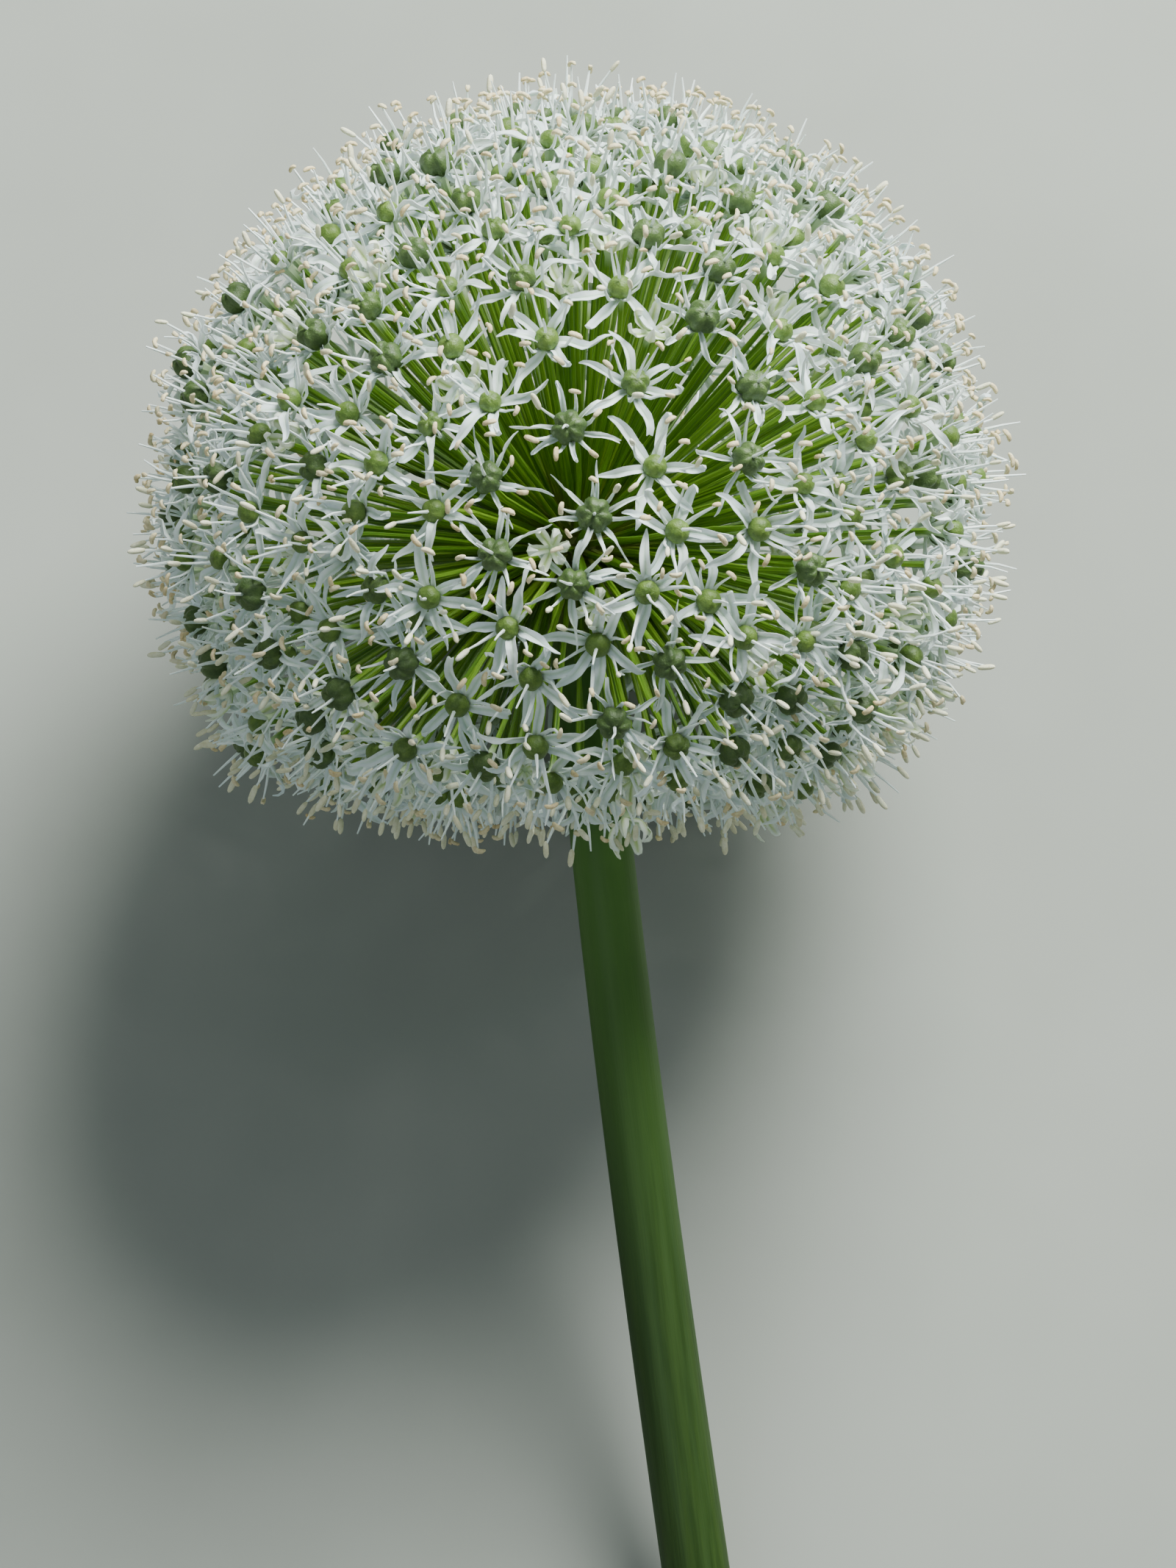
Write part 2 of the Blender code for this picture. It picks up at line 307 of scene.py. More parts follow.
# %% Tapered rods
def tapered_rod(length, sections, sides):
    """A rod along +X. Each section is (share of the length, half width, half thickness)."""
    bm = bmesh.new()
    across_along = bm.loops.layers.uv.new("across_along")
    bmesh.ops.create_circle(bm, cap_ends=True, segments=sides, radius=1.0)
    bmesh.ops.rotate(bm, matrix=Matrix.Rotation(math.pi / 2, 3, "Y"), verts=bm.verts)
    first = sections[0]
    bmesh.ops.scale(bm, vec=(1, first[1], first[2]), verts=bm.verts)
    end = bm.faces[:][0]
    for before, section in zip(sections, sections[1:]):
        made = bmesh.ops.extrude_face_region(bm, geom=[end, *end.edges, *end.verts])["geom"]
        verts = [item for item in made if isinstance(item, bmesh.types.BMVert)]
        end = next(item for item in made if isinstance(item, bmesh.types.BMFace))
        step = (section[0] - before[0]) * length
        bmesh.ops.translate(bm, vec=(step, 0, 0), verts=verts)
        grow = (1, section[1] / before[1], section[2] / before[2])
        bmesh.ops.scale(bm, vec=grow, verts=verts)
    for face in bm.faces:
        for loop in face.loops:
            round_it = math.atan2(loop.vert.co.z, loop.vert.co.y) / FULL_TURN + 0.5
            loop[across_along].uv = (round_it, loop.vert.co.x / length)
    return bm


FILAMENT_LENGTH = 8.3 * MM
FILAMENT_START = math.radians(26)
FILAMENT_SECTIONS = (
    (0.0, 0.56 * MM, 0.18 * MM),
    (0.15, 0.42 * MM, 0.21 * MM),
    (0.4, 0.31 * MM, 0.24 * MM),
    (0.7, 0.24 * MM, 0.21 * MM),
    (1.0, 0.15 * MM, 0.15 * MM),
)


def filament_pattern(name, lift, sway):
    """A filament that leaves the floret's foot low, clears the ovary and rises. Returns its mesh,
    where its end is and which way it points there."""
    bm = tapered_rod(FILAMENT_LENGTH, FILAMENT_SECTIONS, sides=5)
    nod = degrees(-26, 26)

    def pitch(s):
        return FILAMENT_START + lift * smooth_step(0.0, 0.6, s) + nod * smooth_step(0.6, 1.0, s)

    def yaw(s):
        return sway * math.sin(math.pi * s)

    bend(bm, FILAMENT_LENGTH, pitch, yaw, roll=lambda s: 0.0)
    end = sorted(bm.verts, key=lambda vert: vert.co.length)[-1].co.copy()
    way = Euler((0.0, -pitch(1.0), yaw(0.97))).to_matrix() @ Vector((1, 0, 0))
    return finished(bm, name), end, way


spreading_filaments = [
    filament_pattern(f"spreading_filament_{n}", degrees(12, 42), degrees(-20, 20)) for n in range(7)
]
upright_filaments = [
    filament_pattern(f"upright_filament_{n}", degrees(36, 60), degrees(-18, 18)) for n in range(7)
]
print("a filament has", len(upright_filaments[0][0].polygons), "faces")

# %% Closed and open anthers
CLOSED_ANTHER = (3.1 * MM, 1.0 * MM)  # length and thickness
OPEN_ANTHER = (2.65 * MM, 0.88 * MM)
ANTHER_GROOVE = 0.62


def anther_pattern(name, length, thickness, curl, twist):
    """A pollen case along X, held at its middle: a long round body with a groove down its face."""
    bm = bmesh.new()
    bmesh.ops.create_uvsphere(bm, u_segments=8, v_segments=6, radius=1.0)
    bmesh.ops.rotate(bm, matrix=Matrix.Rotation(math.pi / 2, 3, "Y"), verts=bm.verts)
    for vert in bm.verts:
        x, y, z = vert.co
        rim = math.hypot(y, z)
        fullness = (1 - abs(x) ** 3.2) ** 0.5 / max(rim, 1e-6) if abs(x) < 0.999 else 1.0
        groove = ANTHER_GROOVE if z > 0.7 * rim and abs(y) < 0.3 * rim + 1e-6 else 1.0
        half = fullness * thickness / 2
        vert.co = ((x + 1) / 2 * length, y * half, z * half * groove)
    bend(bm, length, pitch=lambda s: curl * (0.5 - s), yaw=lambda s: 0.0, roll=lambda s: twist * s)
    centre = sum((vert.co for vert in bm.verts), Vector()) / len(bm.verts)
    bmesh.ops.translate(bm, vec=-centre, verts=bm.verts)
    return finished(bm, name, sharp=math.pi)


closed_anthers = [
    anther_pattern(f"closed_anther_{n}", *CLOSED_ANTHER, degrees(-14, 14), degrees(-15, 15))
    for n in range(3)
]
open_anthers = [
    anther_pattern(f"open_anther_{n}", *OPEN_ANTHER, degrees(80, 190), degrees(-50, 50))
    for n in range(6)
]
print("an anther has", len(closed_anthers[0].polygons), "faces")

# %% [markdown]
# ## Ovaries and styles
# In the middle of each floret sits its ovary, which swells into the seed pod. It has three chambers.
# Seen from the front a ripe one has six lobes: a deep furrow between chambers and a shallow one down
# the back of each. A sphere is furrowed by a formula that moves its corners in, and its top is dented
# where the style stands. A young ovary is nearly a plain globe. The style is a thin tapered rod.

# %% Ovary and style patterns
OVARY_DIAMETER = 5.3 * MM
STYLE_LENGTH = 6.2 * MM


def ovary_pattern(name, furrow):
    bm = bmesh.new()
    bmesh.ops.create_uvsphere(bm, u_segments=24, v_segments=8, radius=1.0)
    for vert in bm.verts:
        bearing = math.atan2(vert.co.y, vert.co.x)
        rim = math.hypot(vert.co.x, vert.co.y)
        deep = max(0.0, math.cos(3 * bearing)) ** 4
        shallow = max(0.0, -math.cos(3 * bearing)) ** 4
        pinch = 1 - furrow * rim**0.5 * (deep + 0.6 * shallow)
        dent = furrow * max(0.0, 1 - rim / 0.6) if vert.co.z > 0 else 0.0
        vert.co.x *= pinch
        vert.co.y *= pinch
        vert.co.z = vert.co.z * (0.92 - 0.8 * furrow * (deep + 0.5 * shallow)) - dent * 0.7
    bmesh.ops.scale(bm, vec=(OVARY_DIAMETER / 2,) * 3, verts=bm.verts)
    bmesh.ops.translate(bm, vec=(0, 0, OVARY_DIAMETER * 0.47), verts=bm.verts)
    return finished(bm, name, sharp=math.pi)


young_ovary = ovary_pattern("young_ovary", 0.07)
ripe_ovaries = [ovary_pattern(f"ripe_ovary_{n}", dice.uniform(0.24, 0.34)) for n in range(3)]
STYLE_SECTIONS = ((0.0, 0.30 * MM, 0.30 * MM), (0.5, 0.22 * MM, 0.22 * MM), (1.0, 0.13 * MM, 0.13 * MM))


def style_pattern(name, lean):
    bm = tapered_rod(STYLE_LENGTH, STYLE_SECTIONS, sides=5)
    bend(bm, STYLE_LENGTH, lambda s: math.pi / 2 - lean * s, lambda s: 0.0, lambda s: 0.0)
    bmesh.ops.translate(bm, vec=(0, 0, OVARY_DIAMETER * 0.78), verts=bm.verts)
    return finished(bm, name)


styles = [style_pattern(f"style_{n}", degrees(0, 24)) for n in range(4)]
print("ovary", len(young_ovary.polygons), "faces, style", len(styles[0].polygons))

# %% [markdown]
# ## Half-open buds
# Between the florets a few buds are still opening. They stand lower, and their tepals arch over like
# the ribs of a lantern. The blade of the open tepal does again: its line first goes out and then
# closes over the top.

# %% Bud tepal patterns
BUD_TEPAL_LENGTH = 7.6 * MM
bud_tepals = [
    tepal_pattern(
        f"bud_tepal_{n}",
        rise=math.radians(8),
        droop=math.radians(118 + 7 * n),
        hook=math.radians(18 * n),
        swing=degrees(-5, 5),
        twist=degrees(-16, 16),
        length=BUD_TEPAL_LENGTH,
        width=1.9 * MM,
        restless=0.35 * min(n, 1),
    )
    for n in range(5)
]
print(len(bud_tepals), "bud tepal patterns")

# %% [markdown]
# ## Stalks
# A floret's stalk is a smooth round rod, a little wider where it meets the tepals. It leaves the
# receptacle square to its surface and arrives along the floret's own axis, so its line is a cubic
# curve with those two directions at its ends. One straight rod is laid along each of these curves.

# %% The stalk's rod and its curve
STALK_SECTIONS = (  # share of the length, half width and half thickness in mm
    (0.0, 0.70, 0.70),
    (0.03, 0.56, 0.56),
    (0.25, 0.50, 0.50),
    (0.5, 0.48, 0.48),
    (0.75, 0.48, 0.48),
    (0.93, 0.51, 0.51),
    (0.975, 0.68, 0.68),
    (1.0, 1.05, 1.05),
)
sections = [(share, wide * MM, thick * MM) for share, wide, thick in STALK_SECTIONS]
stalk_rod = finished(tapered_rod(1.0, sections, sides=7), "stalk_rod")
print("a stalk has", len(stalk_rod.polygons), "faces")


def hermite(start, start_way, end, end_way, share):
    """A point on the cubic curve between two points with a direction at each, and its direction."""
    reach = (end - start).length
    s, s2, s3 = share, share**2, share**3
    point = (
        start * (2 * s3 - 3 * s2 + 1)
        + start_way * reach * (s3 - 2 * s2 + s)
        + end * (3 * s2 - 2 * s3)
        + end_way * reach * (s3 - s2)
    )
    way = (
        start * (6 * s2 - 6 * s)
        + start_way * reach * (3 * s2 - 4 * s + 1)
        + end * (6 * s - 6 * s2)
        + end_way * reach * (3 * s2 - 2 * s)
    )
    return point, way.normalized()


def lay_stalk(verts, start, start_way, end, end_way):
    """Moves the corners of one straight stalk rod onto its curve. No two stalks are equally thick."""
    stout = dice.uniform(0.86, 1.14)
    for vert in verts:
        point, way = hermite(start, start_way, end, end_way, vert.co.x)
        across = way.orthogonal().normalized() * stout
        vert.co = point + across * vert.co.y + way.cross(across) * vert.co.z


# %% [markdown]
# ## Dressing the clusters
# Every floret gets an age. With age its ovary swells and furrows, its tepals hook and twist, and its
# anthers open, first over the crown and last beside the stem. A piece is made for each organ of each
# cluster, so that a cluster comes apart into tepals, stamens, anthers, ovaries, stalks and buds. The
# copies carry a number, their tone, which the finishes read to vary the colour from one to the next.

# %% A mesh made of placed copies
TONE = "tone"
FLOOR_CLEARANCE = 0.15 * MM
FLATTENED = 3 * MM  # how deep a tip would have to sink to be pressed to a third of the clearance


class Bunch:
    """Collects placed copies of pattern meshes and turns them into one piece."""

    def __init__(self, name):
        self.name = name
        self.bm = bmesh.new()
        self.bm.verts.layers.float.new(TONE)

    def add(self, pattern, place=None, tone=0.5):
        """Adds a copy, moved by a matrix if one is given, and returns its corners."""
        before = len(self.bm.verts)
        self.bm.from_mesh(pattern)
        self.bm.verts.ensure_lookup_table()
        verts = self.bm.verts[before:]
        if place is not None:
            bmesh.ops.transform(self.bm, matrix=place, verts=verts)
        layer = self.bm.verts.layers.float[TONE]
        for vert in verts:
            vert[layer] = tone
        return verts

    def piece(self, slot, materials):
        """The finished object, riding on the plant. Soft tips that reach the ground lie on it."""
        for vert in self.bm.verts:
            below = FLOOR_CLEARANCE - vert.co.z
            if below > 0:
                vert.co.z = FLOOR_CLEARANCE * math.exp(-below / FLATTENED)
        mesh = bpy.data.meshes.new(self.name)
        self.bm.to_mesh(mesh)
        self.bm.free()
        mesh.shade_smooth()
        return make_piece(self.name, mesh, materials)


def make_piece(name, mesh, materials):
    """Puts a mesh in the scene as a piece that rides on the plant's one body."""
    for material in materials:
        mesh.materials.append(material)
    piece = bpy.data.objects.new(name, mesh)
    bpy.context.scene.collection.objects.link(piece)
    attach(piece, "root")
    return piece


# %% [markdown]
# ## Finishes
# The next cells make the materials. Three effects are used by several of them, so each is a node
# group with named sockets: mottle breaks up a colour with two sizes of noise, veins draws fine lines
# along a blade, and grain raises tiny bumps. A group only passes values on. The shader itself stays in
# each material.

# %% Helpers for node trees
def new_group(name, inputs, outputs):
    """An empty shader node group. inputs are (name, kind, default) and outputs are (name, kind)."""
    group = bpy.data.node_groups.new(name, "ShaderNodeTree")
    for title, kind, default in inputs:
        socket = group.interface.new_socket(title, in_out="INPUT", socket_type=f"NodeSocket{kind}")
        if default is not None:
            socket.default_value = default
    for title, kind in outputs:
        group.interface.new_socket(title, in_out="OUTPUT", socket_type=f"NodeSocket{kind}")
    return group, group.nodes.new("NodeGroupInput"), group.nodes.new("NodeGroupOutput")


def add_node(tree, kind, inputs=None, **settings):
    """Adds a node. inputs maps a socket's name or number to a value or to another node's output."""
    made = tree.nodes.new(f"ShaderNode{kind}")
    for title, value in settings.items():
        setattr(made, title, value)
    for key, value in (inputs or {}).items():
        if isinstance(value, bpy.types.NodeSocket):
            tree.links.new(value, made.inputs[key])
        else:
            made.inputs[key].default_value = value
    return made


def maths(tree, operation, first, second=0.0):
    return add_node(tree, "Math", {0: first, 1: second}, operation=operation).outputs[0]


def times(tree, first, second):
    return maths(tree, "MULTIPLY", first, second)


def one_minus(tree, value):
    return maths(tree, "SUBTRACT", 1.0, value)


def blend_colours(tree, share, low, high, mode="MIX"):
    made = add_node(tree, "Mix", data_type="RGBA", blend_type=mode)
    usable = [s for s in made.inputs if s.type in ("VALUE", "RGBA") and s.enabled]
    for key, value in (("Factor", share), ("A", low), ("B", high)):
        socket = next(s for s in usable if s.name == key)
        if isinstance(value, bpy.types.NodeSocket):
            tree.links.new(value, socket)
        else:
            socket.default_value = value
    return next(s for s in made.outputs if s.type == "RGBA")


def ramp(tree, share, low, high):
    """0 below low, 1 above high, and smooth between."""
    made = add_node(tree, "MapRange", {"Value": share, "From Min": low, "From Max": high})
    made.interpolation_type = "SMOOTHSTEP"
    return made.outputs["Result"]


def colour(red, green, blue):
    return (red, green, blue, 1.0)


# %% The mottle group
mottle, given, put = new_group(
    "mottle",
    [("Vector", "Vector", None), ("Dark", "Color", colour(0, 0, 0)),
     ("Light", "Color", colour(1, 1, 1)), ("Scale", "Float", 300.0)],
    [("Color", "Color"), ("Value", "Float")],
)
where, scale = given.outputs["Vector"], given.outputs["Scale"]
broad = add_node(mottle, "TexNoise", {"Vector": where, "Scale": scale, "Detail": 2.0})
fine_scale = times(mottle, scale, 5.0)
fine = add_node(mottle, "TexNoise", {"Vector": where, "Scale": fine_scale, "Detail": 2.0})
both = maths(mottle, "ADD", times(mottle, broad.outputs[0], 0.65), times(mottle, fine.outputs[0], 0.35))
spread = ramp(mottle, both, 0.32, 0.68)
mottle.links.new(blend_colours(mottle, spread, given.outputs["Dark"], given.outputs["Light"]),
                 put.inputs["Color"])
mottle.links.new(spread, put.inputs["Value"])
print("mottle has", len(mottle.nodes), "nodes")

# %% The veins group
veins, given, put = new_group(
    "veins",
    [("Map", "Vector", None), ("Lines", "Float", 5.0)],
    [("Rib", "Float"), ("Height", "Float"), ("Along", "Float")],
)
split = add_node(veins, "SeparateXYZ", {0: given.outputs["Map"]})
off_middle = maths(veins, "ABSOLUTE", maths(veins, "SUBTRACT", split.outputs["X"], 0.5))
rib = one_minus(veins, ramp(veins, off_middle, 0.02, 0.3))
turns = times(veins, split.outputs["X"], given.outputs["Lines"])
waves = maths(veins, "COSINE", times(veins, turns, FULL_TURN))
veins.links.new(rib, put.inputs["Rib"])
veins.links.new(maths(veins, "ADD", times(veins, waves, 0.3), rib), put.inputs["Height"])
veins.links.new(split.outputs["Y"], put.inputs["Along"])
print("veins has", len(veins.nodes), "nodes")

# %% The grain group
grain, given, put = new_group(
    "grain",
    [("Vector", "Vector", None), ("Scale", "Float", 3000.0)],
    [("Height", "Float")],
)
where, scale = given.outputs["Vector"], given.outputs["Scale"]
cells = add_node(grain, "TexVoronoi", {"Vector": where, "Scale": scale})
soft = add_node(grain, "TexNoise", {"Vector": where, "Scale": times(grain, scale, 0.4)})
dips = times(grain, cells.outputs["Distance"], 0.7)
grain.links.new(maths(grain, "SUBTRACT", soft.outputs[0], dips), put.inputs["Height"])
print("grain has", len(grain.nodes), "nodes")


# %% Starting a material
def new_material(name, roughness, subsurface=0.0, depth=0.0, coat=0.0, specular=0.5):
    """A material with its shader, and the sources that its pattern reads."""
    material = bpy.data.materials.new(name)
    material.use_nodes = True
    tree = material.node_tree
    shader = tree.nodes["Principled BSDF"]
    shader.inputs["Roughness"].default_value = roughness
    shader.inputs["Subsurface Weight"].default_value = subsurface
    shader.inputs["Subsurface Scale"].default_value = depth
    shader.inputs["Subsurface Radius"].default_value = (1.0, 0.9, 0.8)
    shader.inputs["Coat Weight"].default_value = coat
    shader.inputs["Specular IOR Level"].default_value = specular
    sources = {
        "place": add_node(tree, "TexCoord").outputs["Object"],
        "map": add_node(tree, "UVMap", uv_map="across_along").outputs["UV"],
        "tone": add_node(tree, "Attribute", attribute_name=TONE).outputs["Fac"],
    }
    return material, tree, shader, sources


def use_group(tree, group, inputs):
    return add_node(tree, "Group", inputs, node_tree=group).outputs


def mottled(tree, where, dark, light, scale):
    """Two colours, broken up by the mottle group."""
    return use_group(tree, mottle, {"Vector": where, "Dark": colour(*dark), "Light": colour(*light),
                                    "Scale": scale})


def raise_surface(tree, shader, height, distance, strength=1.0):
    bump = add_node(tree, "Bump", {"Height": height, "Distance": distance, "Strength": strength})
    tree.links.new(bump.outputs["Normal"], shader.inputs["Normal"])


# %% [markdown]
# ### White organs
# A tepal is white because its cells scatter light, and it is thin, so a little subsurface scattering
# gives it the right glow. It is faintly green at its foot and along its midrib, and the midrib is
# painted darker as shade in the blade's channel. The tone number makes some tepals cooler and some
# warmer. Filaments and styles are the same tissue without the midrib.

# %% Tepal white
def tepal_white(name, body_dark, body_light, midrib_and_shade_colour, midrib_and_shade_strength):
    material, tree, shader, sources = new_material(
        name, 0.52, subsurface=0.35, depth=0.5 * MM, specular=0.35
    )
    line = use_group(tree, veins, {"Map": sources["map"], "Lines": 5.0})
    body = mottled(tree, sources["place"], body_dark, body_light, 260.0)
    toned = blend_colours(tree, sources["tone"], colour(0.93, 0.96, 1.0), colour(1.0, 1.0, 0.97))
    base = blend_colours(tree, 1.0, body["Color"], toned, mode="MULTIPLY")
    fade = one_minus(tree, ramp(tree, line["Along"], 0.45, 1.0))
    # The midrib colour is the real green midrib plus painted shade: it darkens the middle of the blade,
    # along its channel, and fades out towards the point.
    midrib_and_shade_share = times(tree, times(tree, line["Rib"], fade), midrib_and_shade_strength)
    midrib_and_shaded = blend_colours(tree, midrib_and_shade_share, base, midrib_and_shade_colour)
    foot = one_minus(tree, ramp(tree, line["Along"], 0.02, 0.2))
    footed = blend_colours(tree, times(tree, foot, 0.6), midrib_and_shaded, colour(0.55, 0.70, 0.38))
    tree.links.new(footed, shader.inputs["Base Color"])
    raise_surface(tree, shader, line["Height"], 0.05 * MM, 0.3)
    return material


tepal_finish = tepal_white(
    "tepal_white", (0.70, 0.79, 0.80), (0.85, 0.91, 0.90), colour(0.45, 0.62, 0.42), 0.55
)
bud_finish = tepal_white(
    "bud_cream", (0.80, 0.86, 0.68), (0.90, 0.94, 0.84), colour(0.46, 0.60, 0.20), 0.85
)
print(tepal_finish.name, "has", len(tepal_finish.node_tree.nodes), "nodes")

# %% Filament white
stamen_finish, tree, shader, sources = new_material(
    "filament_white", 0.45, subsurface=0.3, depth=0.4 * MM
)
body = mottled(tree, sources["place"], (0.76, 0.86, 0.85), (0.88, 0.95, 0.93), 500.0)
along = add_node(tree, "SeparateXYZ", {0: sources["map"]}).outputs["Y"]
foot = one_minus(tree, ramp(tree, along, 0.0, 0.35))
tree.links.new(blend_colours(tree, times(tree, foot, 0.35), body["Color"],
                             colour(0.66, 0.78, 0.56)), shader.inputs["Base Color"])

# %% [markdown]
# ### Anthers, ovaries and stalks
# The anther's tone says how far it has opened: closed cases are cream and fairly smooth, and open ones
# are tan and dusted with pollen grains. The ovary goes from a fresh to a deep green as it ripens, and
# its skin is finely pebbled. The stalk is yellow-green, streaked along its length, brownish at the
# foot and almost white where it widens under the tepals.

# %% Anther cream and tan
anther_finish, tree, shader, sources = new_material(
    "anther_pollen", 0.75, subsurface=0.15, depth=0.3 * MM
)
cream = mottled(tree, sources["place"], (0.72, 0.71, 0.48), (0.88, 0.88, 0.70), 900.0)
tan = mottled(tree, sources["place"], (0.60, 0.43, 0.19), (0.85, 0.73, 0.45), 1100.0)
tree.links.new(blend_colours(tree, sources["tone"], cream["Color"], tan["Color"]),
               shader.inputs["Base Color"])
dust = use_group(tree, grain, {"Vector": sources["place"], "Scale": 7000.0})
raise_surface(tree, shader, dust["Height"], 0.06 * MM, 0.8)

# %% Ovary green
ovary_finish, tree, shader, sources = new_material("ovary_green", 0.5, subsurface=0.08, depth=0.5 * MM,
                                                   specular=0.45)
fresh = mottled(tree, sources["place"], (0.075, 0.145, 0.016), (0.155, 0.25, 0.038), 700.0)
ripe = mottled(tree, sources["place"], (0.040, 0.080, 0.018), (0.076, 0.128, 0.034), 700.0)
tree.links.new(blend_colours(tree, sources["tone"], fresh["Color"], ripe["Color"]),
               shader.inputs["Base Color"])
pebbles = use_group(tree, grain, {"Vector": sources["place"], "Scale": 4200.0})
raise_surface(tree, shader, pebbles["Height"], 0.09 * MM, 0.7)

# %% Stalk green
stalk_finish, tree, shader, sources = new_material("stalk_green", 0.42, subsurface=0.1, depth=0.6 * MM)
split = add_node(tree, "SeparateXYZ", {0: sources["map"]})
stretched = add_node(tree, "CombineXYZ", {"X": times(tree, split.outputs["X"], 9.0),
                                          "Y": times(tree, split.outputs["Y"], 2.0),
                                          "Z": times(tree, sources["tone"], 40.0)})
streaks = mottled(tree, stretched.outputs[0], (0.055, 0.165, 0.006), (0.25, 0.45, 0.025), 1.0)
shade = blend_colours(tree, sources["tone"], colour(0.62, 0.72, 0.6), colour(1.25, 1.15, 1.3))
toned = blend_colours(tree, 1.0, streaks["Color"], shade, mode="MULTIPLY")
low = one_minus(tree, ramp(tree, split.outputs["Y"], 0.0, 0.16))
footed = blend_colours(tree, times(tree, low, 0.75), toned,
                       colour(0.30, 0.34, 0.08))
high = ramp(tree, split.outputs["Y"], 0.93, 1.0)
topped = blend_colours(tree, times(tree, high, 0.85), footed, colour(0.62, 0.76, 0.50))
tree.links.new(topped, shader.inputs["Base Color"])
raise_surface(tree, shader, streaks["Value"], 0.04 * MM, 0.5)

# %% [markdown]
# ## Placing every organ
# A floret's foot is where its stalk ends and its tepals and filaments start. It lies on the line from
# the cluster's foot to the tip of the style, one ovary and one style below the tip. Its axis follows
# that line, tilted a few degrees either way, because no two florets face quite the same way. Stalks of
# the lowest florets don't start as low as they end: the stem is in their way, so they bend down.

# %% Where a stalk starts and how a pattern is stood on a point
LOWEST = math.radians(158)
LOWEST_FOOT = math.radians(132)


def stalk_foot(outward):
    """Where a stalk leaves the receptacle, and in which direction."""
    polar = polar_of(outward)
    below = max(0.0, polar - math.pi / 2) / (LOWEST - math.pi / 2)
    turn = -(below**1.5) * (LOWEST - LOWEST_FOOT)
    way = Matrix.Rotation(turn, 3, crown.cross(outward).normalized()) @ outward
    return heart + way * (receptacle_radius - 0.5 * MM), way


def axes_at(point, axis, spin):
    """A matrix that stands a pattern on point with its Z along axis, turned by spin."""
    turn = axis.to_track_quat("Z", "X").to_matrix().to_4x4()
    return Matrix.Translation(point) @ turn @ Matrix.Rotation(spin, 4, "Z")


def tilted(axis, most):
    across = axis.orthogonal().normalized()
    across.rotate(Matrix.Rotation(dice.uniform(0, FULL_TURN), 3, axis))
    return (axis + across * math.tan(dice.uniform(0, most))).normalized()


print("the lowest stalks start", round(math.degrees(LOWEST_FOOT)), "degrees from the crown")

# %% [markdown]
# ### The parting
# On the side that faces up the florets have parted a little, and their stalks show between them. So
# each floret is turned about the heart, away from one direction. The turn is greatest some way off
# that direction and fades out beyond.

# %% The parting
PARTED_AT = (crown * 0.38 + skyward * 0.92 + sideways * 0.12).normalized()
PARTING = math.radians(2.4)
PARTED_MOST_AT = math.radians(12)


def parted(way):
    """The turn about the heart that carries a floret away from the parting."""
    share = way.angle(PARTED_AT) / PARTED_MOST_AT
    return Matrix.Rotation(PARTING * share * math.exp(1 - share), 3, PARTED_AT.cross(way).normalized())


print("the parting turns a floret by at most", round(math.degrees(PARTING), 1), "degrees")

# %% Plan each floret
FLORET_DEPTH = OVARY_DIAMETER * 0.78 + STYLE_LENGTH
MOST_TILT = math.radians(11)
SUNK = (-1.8 * MM, 3.2 * MM)
LATE_TO_OPEN = (math.radians(60), math.radians(140))  # angles from the crown, as are the next
FLANK = (math.radians(68), math.radians(90))
BESIDE_STEM = (math.radians(125), math.radians(140))
FLANK_SUNK = 2.6 * MM  # the right flank is a little flatter than the left
BESIDE_STEM_SUNK = 2.0 * MM


class Floret:
    """One floret's place, direction, age and share of opened anthers."""

    def __init__(self, cluster, foot, tip):
        self.cluster = cluster
        self.outward = (tip - heart).normalized()
        self.reach = (tip - heart).length
        polar = polar_of(self.outward)
        below = smooth_step(*LATE_TO_OPEN, polar)
        turn = parted(self.outward)
        self.axis = tilted(turn @ (tip - foot).normalized(), MOST_TILT)
        self.base = heart + turn @ (tip - heart) - self.axis * (FLORET_DEPTH + dice.uniform(*SUNK))
        flank = smooth_step(0.3, 0.8, self.outward.x) * smooth_step(*FLANK, polar)
        beside_stem = smooth_step(*BESIDE_STEM, polar) * (1 - flank)
        self.base -= self.axis * (FLANK_SUNK * flank + BESIDE_STEM_SUNK * beside_stem)
        self.age = dice.random() ** (1 + 0.8 * below)
        self.opened = 0.9 - 0.62 * below


florets = [Floret(name, foot, tip) for name, (foot, tips) in clusters.items() for tip in tips]
print("florets planned:", len(florets))

# %% [markdown]
# ### One floret's organs
# Six tepals stand in two rings of three, one just above the other, and the six stamens stand between
# them. An old floret's tepals have shrivelled, so they are narrower. The ovary's size and pattern
# follow the floret's age.

# %% The tepals of one floret
SHRIVEL = 0.5  # the share of its width that an old tepal has lost
TEPAL_OUT, TEPAL_UP = 0.75 * MM, (0.05 * MM, 0.27 * MM)  # the inner and the outer three


def choose_tepal(age):
    draw = dice.random()
    if draw < 0.66 - 0.5 * age:
        return dice.choice(straight_tepals)
    if draw < 0.88 - 0.3 * age:
        return dice.choice(hooked_tepals)
    return dice.choice(twisted_tepals)


def add_tepals(bunch, floret, spin):
    for index in range(6):
        turn = FULL_TURN * index / 6 + degrees(-8, 8)
        out = Matrix.Translation((TEPAL_OUT, 0, TEPAL_UP[index % 2]))
        size = dice.uniform(0.9, 1.08)
        width = size * (1.02 - SHRIVEL * smooth_step(0.3, 0.85, floret.age))
        lift = Matrix.Rotation(degrees(-10, 8), 4, "Y")
        shape = Matrix.Diagonal((size, width, size, 1.0))
        place = axes_at(floret.base, floret.axis, spin + turn) @ out @ lift @ shape
        bunch.add(choose_tepal(floret.age), place, dice.random())


# %% The stamens of one floret
FILAMENT_OUT, FILAMENT_UP = 0.8 * MM, 0.3 * MM
OPEN_SEAT, CLOSED_SEAT = 0.28 * MM, 0.9 * MM  # from the filament's end to the anther's middle


